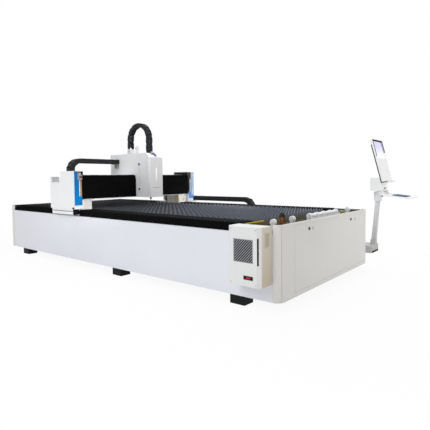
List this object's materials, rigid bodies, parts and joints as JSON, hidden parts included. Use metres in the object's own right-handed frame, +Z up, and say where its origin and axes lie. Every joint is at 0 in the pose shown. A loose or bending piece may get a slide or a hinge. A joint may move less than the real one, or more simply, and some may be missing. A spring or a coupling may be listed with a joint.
{
  "type": "flatbed laser cutting machine",
  "caption": "Open flatbed laser cutter: slatted table on a long bed, travelling gantry with carriage and lifting head, bellows, cable chains, cooling unit and console.",
  "frame": {"origin": "centre of the four corner anchor holes, on the floor under the middle of the bed", "axes": "+X along the bed to its front end with the cooling unit, +Y across the bed to the cable chain side, +Z up"},
  "size_m": [5.6816, 4.1395, 2.1591],
  "materials": {
    "white_paint": "semi-gloss powder coat",
    "grey_paint": "matt paint",
    "frame_paint": "matt primer",
    "black_paint": "matt black",
    "blue_paint": "gloss blue",
    "slat_steel": "dark rolled steel",
    "bright_steel": "ground",
    "bellows_cloth": "coated cloth",
    "chain_plastic": "moulded",
    "wheel_nylon": "white nylon",
    "dark_metal": "anodised dark",
    "plain_aluminium": "machined",
    "nozzle_brass": "turned",
    "button_green": "gloss"
  },
  "bodies": {
    "bed": {"bed_frame": "frame_paint", "near_panel": "white_paint", "far_panel": "white_paint", "front_cowl": "white_paint", "front_door": "white_paint", "rear_cowl": "white_paint", "feet": "black_paint", "x_rails": "bright_steel", "x_racks": "bright_steel", "slats": "slat_steel", "slat_bars": "frame_paint", "x_bellows_rear": "bellows_cloth", "x_bellows_front": "bellows_cloth", "x_chain": "chain_plastic", "x_chain_tray": "white_paint", "front_deck": "frame_paint", "cooler_case": "white_paint", "cooler_grille": "dark_metal", "console_base": "grey_paint", "console_column": "grey_paint"},
    "gantry": {"beam": "white_paint", "saddle_near": "white_paint", "saddle_far": "white_paint", "end_cover_near": "white_paint", "end_cover_far": "white_paint", "trim_near": "blue_paint", "trim_far": "blue_paint", "x_servos": "dark_metal", "y_rails": "bright_steel", "y_rack": "bright_steel", "y_bellows_near": "bellows_cloth", "y_bellows_far": "bellows_cloth", "y_chain": "chain_plastic", "gas_valve": "plain_aluminium"},
    "carriage": {"carriage_plate": "bright_steel", "carriage_cover": "white_paint", "y_servo": "dark_metal", "z_actuator": "dark_metal", "z_chain": "chain_plastic"},
    "head": {"laser_head": "plain_aluminium", "nozzle": "nozzle_brass"},
    "console_head": {"console_head": "white_paint", "console_monitor": "chain_plastic", "console_shelf": "white_paint"},
    "door_lock_a": {"door_lock_a": "dark_metal"},
    "door_lock_b": {"door_lock_b": "dark_metal"},
    "drawer_1": {"drawer_1": "grey_paint"},
    "drawer_2": {"drawer_2": "grey_paint"},
    "drawer_3": {"drawer_3": "grey_paint"},
    "roller_1": {"roller_1": "wheel_nylon"},
    "roller_2": {"roller_2": "wheel_nylon"},
    "roller_mid": {"roller_mid": "wheel_nylon"},
    "roller_4": {"roller_4": "wheel_nylon"},
    "cooler_fan": {"cooler_fan": "chain_plastic"},
    "start_button": {"start_button": "button_green"},
    "x_pinion_near": {"x_pinion_near": "bright_steel"},
    "x_pinion_far": {"x_pinion_far": "bright_steel"},
    "y_pinion": {"y_pinion": "bright_steel"},
    "cover_lock_a": {"cover_lock_a": "dark_metal"},
    "cover_lock_b": {"cover_lock_b": "dark_metal"}
  },
  "joints": [
    {"name": "gantry_slide", "type": "slide", "parent": "bed", "child": "gantry", "axis": [1, 0, 0], "range_m": [-1.2, 2.45], "deforming": ["x_bellows_rear", "x_bellows_front", "x_chain"]},
    {"name": "carriage_slide", "type": "slide", "parent": "gantry", "child": "carriage", "axis": [0, 1, 0], "range_m": [-0.76, 0.75], "deforming": ["y_bellows_near", "y_bellows_far", "y_chain"]},
    {"name": "head_lift", "type": "slide", "parent": "carriage", "child": "head", "axis": [0, 0, 1], "range_m": [-0.085, 0.03], "deforming": ["z_chain"]},
    {"name": "x_pinion_near_turn", "type": "hinge", "parent": "gantry", "child": "x_pinion_near", "pos_m": [-1.06, -1.082, 0.7], "axis": [0, 0, 1], "range_deg": [-2100, 4200]},
    {"name": "x_pinion_far_turn", "type": "hinge", "parent": "gantry", "child": "x_pinion_far", "pos_m": [-1.06, 1.082, 0.7], "axis": [0, 0, 1], "range_deg": [-4200, 2100]},
    {"name": "y_pinion_turn", "type": "hinge", "parent": "carriage", "child": "y_pinion", "pos_m": [-0.718, 0.02, 1.31], "axis": [0, 0, 1], "range_deg": [-1700, 1700]},
    {"name": "drawer_1_slide", "type": "slide", "parent": "bed", "child": "drawer_1", "axis": [0, 1, 0], "range_m": [0, 0.9]},
    {"name": "drawer_2_slide", "type": "slide", "parent": "bed", "child": "drawer_2", "axis": [0, 1, 0], "range_m": [0, 0.9]},
    {"name": "drawer_3_slide", "type": "slide", "parent": "bed", "child": "drawer_3", "axis": [0, 1, 0], "range_m": [0, 0.9]},
    {"name": "roller_1_spin", "type": "hinge", "parent": "bed", "child": "roller_1", "pos_m": [2.515, -0.94, 0.815], "axis": [0, 1, 0], "continuous": true},
    {"name": "roller_2_spin", "type": "hinge", "parent": "bed", "child": "roller_2", "pos_m": [2.515, -0.56, 0.815], "axis": [0, 1, 0], "continuous": true},
    {"name": "roller_mid_spin", "type": "hinge", "parent": "bed", "child": "roller_mid", "pos_m": [2.515, 0.195, 0.815], "axis": [0, 1, 0], "continuous": true},
    {"name": "roller_4_spin", "type": "hinge", "parent": "bed", "child": "roller_4", "pos_m": [2.515, 0.95, 0.815], "axis": [0, 1, 0], "continuous": true},
    {"name": "fan_spin", "type": "hinge", "parent": "bed", "child": "cooler_fan", "pos_m": [2.441, -1.25, 0.586], "axis": [0, 1, 0], "continuous": true},
    {"name": "door_lock_a_turn", "type": "hinge", "parent": "bed", "child": "door_lock_a", "pos_m": [2.71, -0.567, 0.729], "axis": [1, 0, 0], "range_deg": [0, 90]},
    {"name": "door_lock_b_turn", "type": "hinge", "parent": "bed", "child": "door_lock_b", "pos_m": [2.71, 0.555, 0.729], "axis": [1, 0, 0], "range_deg": [0, 90]},
    {"name": "cover_lock_a_turn", "type": "hinge", "parent": "carriage", "child": "cover_lock_a", "pos_m": [-0.47, -0.125, 1.087], "axis": [0, -1, 0], "range_deg": [0, 90]},
    {"name": "cover_lock_b_turn", "type": "hinge", "parent": "carriage", "child": "cover_lock_b", "pos_m": [-0.47, -0.125, 1.484], "axis": [0, -1, 0], "range_deg": [0, 90]},
    {"name": "console_swivel", "type": "hinge", "parent": "bed", "child": "console_head", "pos_m": [2.405, 2.55, 1], "axis": [0, 0, 1], "range_deg": [-45, 45]},
    {"name": "start_button_press", "type": "slide", "parent": "console_head", "child": "start_button", "axis": [-1, 0, 0], "range_m": [0, 0.005], "stiffness_N_per_m": 400}
  ],
  "couplings": [
    {"joint": "x_pinion_near_turn", "follows": "gantry_slide", "rad_per_m": 28.571},
    {"joint": "x_pinion_far_turn", "follows": "gantry_slide", "rad_per_m": -28.571},
    {"joint": "y_pinion_turn", "follows": "carriage_slide", "rad_per_m": -35.714}
  ]
}
